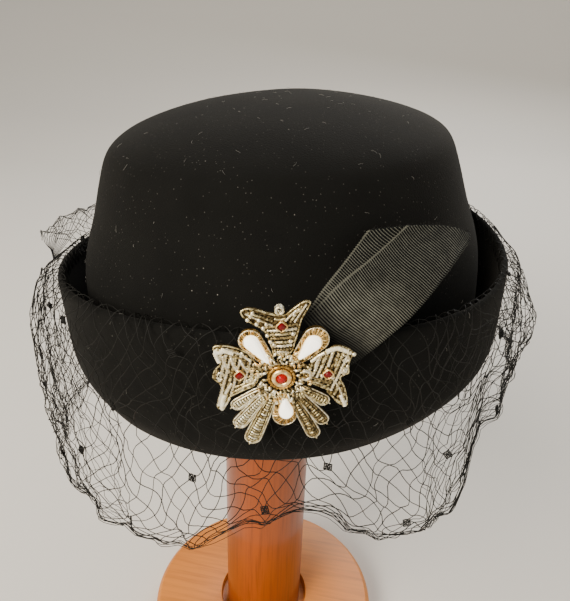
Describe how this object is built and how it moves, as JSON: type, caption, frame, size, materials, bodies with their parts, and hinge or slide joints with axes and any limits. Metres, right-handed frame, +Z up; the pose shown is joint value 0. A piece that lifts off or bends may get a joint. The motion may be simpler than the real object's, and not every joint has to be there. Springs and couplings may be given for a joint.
{
  "type": "pillbox hat on stand",
  "caption": "Black felt pillbox hat with turned-up cuff, net veil, ribbon tails and an embroidered stone-set brooch, held on a plain round wooden hat stand.",
  "frame": {"origin": "centre of the stand's foot, on the surface that it stands on", "axes": "+Z up along the post, -Y to the front of the hat, +X to the side of the ribbon tails"},
  "size_m": [0.219, 0.2361, 0.3329],
  "materials": {
    "felt": "brushed black fur felt",
    "net": "fine black veiling",
    "ribbon": "ribbed black grosgrain",
    "pad": "black felt backing",
    "silver_thread": "tarnished silver bullion",
    "gold_thread": "copper gold bullion",
    "white_stone": "polished milk white",
    "red_stone": "polished red glass paste",
    "post_wood": "orange brown varnish",
    "base_wood": "pale beech, waxed"
  },
  "bodies": {
    "root": {"felt_body": "felt", "veil_net": "net", "ribbon_tail_back": "ribbon", "ribbon_tail_front": "ribbon", "stand_base": "base_wood", "stand_cap": "base_wood", "stand_post": "post_wood", "brooch_pad": "pad", "brooch_leaf_top": "silver_thread", "brooch_leaf_left": "silver_thread", "brooch_leaf_right": "silver_thread", "brooch_rosette": "gold_thread", "centre_stone": "red_stone", "brooch_knob": "silver_thread", "brooch_petal_1": "silver_thread", "brooch_petal_2": "silver_thread", "brooch_petal_3": "silver_thread", "brooch_petal_4": "silver_thread", "brooch_petal_5": "silver_thread", "brooch_petal_6": "silver_thread", "drop_setting_1": "gold_thread", "drop_stone_1": "white_stone", "small_setting_1": "gold_thread", "small_stone_1": "red_stone", "drop_setting_2": "gold_thread", "drop_stone_2": "white_stone", "small_setting_2": "gold_thread", "small_stone_2": "red_stone", "drop_setting_3": "gold_thread", "drop_stone_3": "white_stone", "small_setting_3": "gold_thread", "small_stone_3": "red_stone", "brooch_bead_1": "silver_thread", "brooch_bead_2": "silver_thread", "brooch_bead_3": "silver_thread", "brooch_bead_4": "silver_thread", "brooch_bead_5": "silver_thread", "brooch_bead_6": "silver_thread", "brooch_bead_7": "silver_thread", "brooch_bead_8": "silver_thread", "brooch_bead_9": "silver_thread", "brooch_bead_10": "silver_thread", "brooch_bead_11": "silver_thread"}
  },
  "joints": []
}
